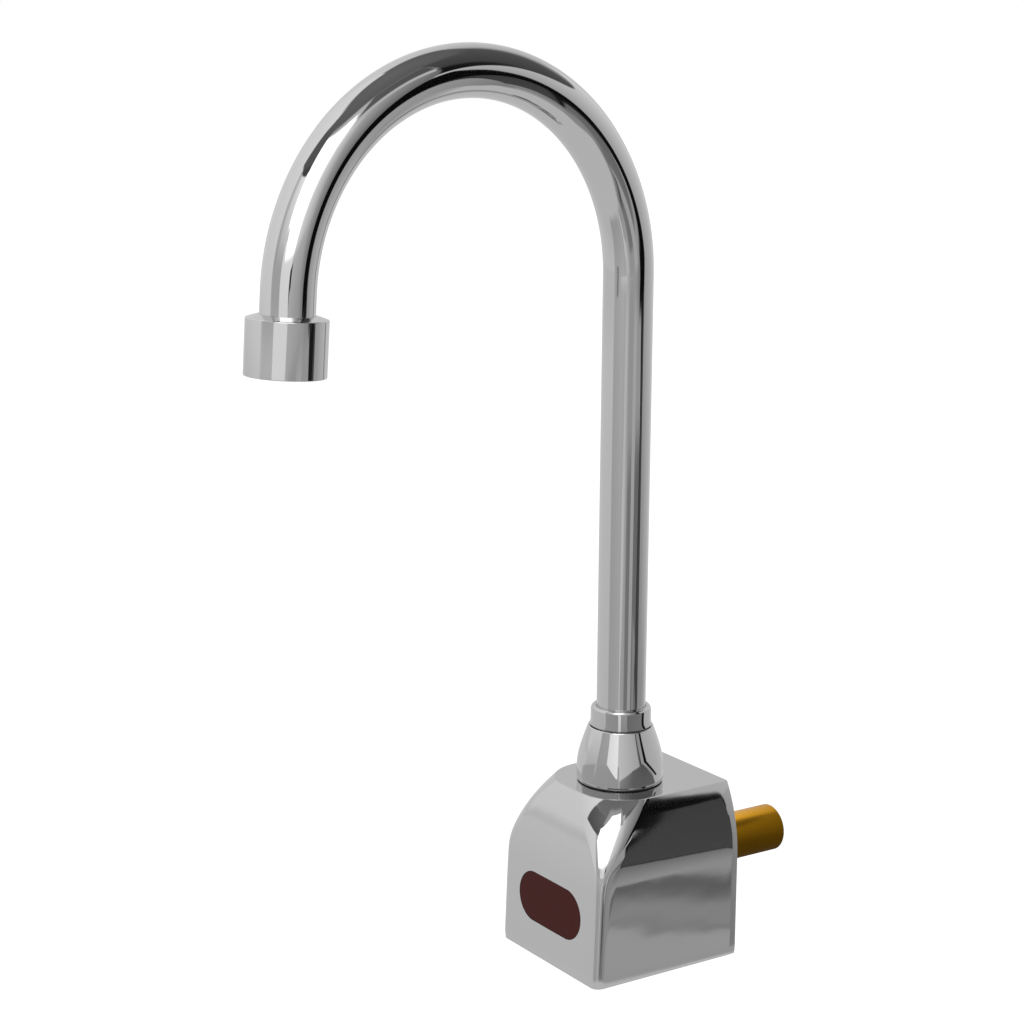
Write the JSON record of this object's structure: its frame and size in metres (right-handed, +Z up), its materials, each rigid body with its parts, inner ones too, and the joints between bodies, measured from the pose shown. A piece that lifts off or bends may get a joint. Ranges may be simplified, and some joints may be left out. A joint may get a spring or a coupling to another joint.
{
  "type": "sensor tap",
  "caption": "Wall tap with a chromed box body, a sensor window in front, a brass inlet stub behind and a swivel gooseneck spout.",
  "frame": {"origin": "on the axis of the inlet shank, in the plane of the wall", "axes": "+Z up along the spout's riser, +Y along the inlet shank into the wall, +X to the right of a user who faces the tap"},
  "size_m": [0.0648, 0.2449, 0.3525],
  "materials": {
    "polished_chrome": "mirror polished chrome plate on brass",
    "bare_brass": "bare turned brass",
    "steel_plate": "plain rolled stainless sheet",
    "steel_screw": "passivated stainless",
    "spring_steel": "spring temper, satin",
    "steel_mesh": "fine woven stainless",
    "black_rubber": "matt moulded rubber",
    "fibre_seal": "red sealing fibre",
    "white_plastic": "slippery white plastic",
    "regulator_plastic": "moulded, satin",
    "grey_plastic": "moulded, satin",
    "maroon_lens": "dark infrared-pass window, smooth",
    "black_plastic": "moulded, fine texture",
    "circuit_board": "solder mask",
    "clear_eye": "clear resin",
    "dark_eye": "dark resin",
    "red_light": "tinted resin"
  },
  "bodies": {
    "tap_body": {"body_shell": "polished_chrome", "back_plate": "steel_plate", "back_plate_screws": "steel_screw", "wall_gasket": "black_rubber", "cable_grommet": "black_rubber", "inlet_shank": "bare_brass", "shank_seal": "fibre_seal", "waterway_elbow": "bare_brass", "adapter_seal": "fibre_seal", "spout_adapter": "bare_brass", "base_washer": "black_rubber", "bell_nut": "polished_chrome", "thrust_washer": "white_plastic", "window_lens": "maroon_lens", "window_gasket": "black_rubber", "sensor_housing": "black_plastic", "sensor_board": "circuit_board", "ir_emitter": "clear_eye", "ir_receiver": "dark_eye", "status_light": "red_light", "sensor_bracket": "spring_steel", "bracket_screws": "steel_screw"},
    "spout": {"swivel_sleeve": "polished_chrome", "sleeve_o_rings": "black_rubber", "slip_washer": "white_plastic", "spout_tube": "polished_chrome", "outlet_fitting": "polished_chrome", "aerator_housing": "polished_chrome", "aerator_washer": "black_rubber", "flow_regulator": "regulator_plastic", "aerator_insert": "grey_plastic", "aerator_screen": "steel_mesh"}
  },
  "joints": [
    {"name": "spout_swivel", "type": "hinge", "parent": "tap_body", "child": "spout", "pos_m": [0, -0.034, 0.0469], "axis": [0, 0, 1], "range_deg": [-100.6, 89.4]}
  ]
}
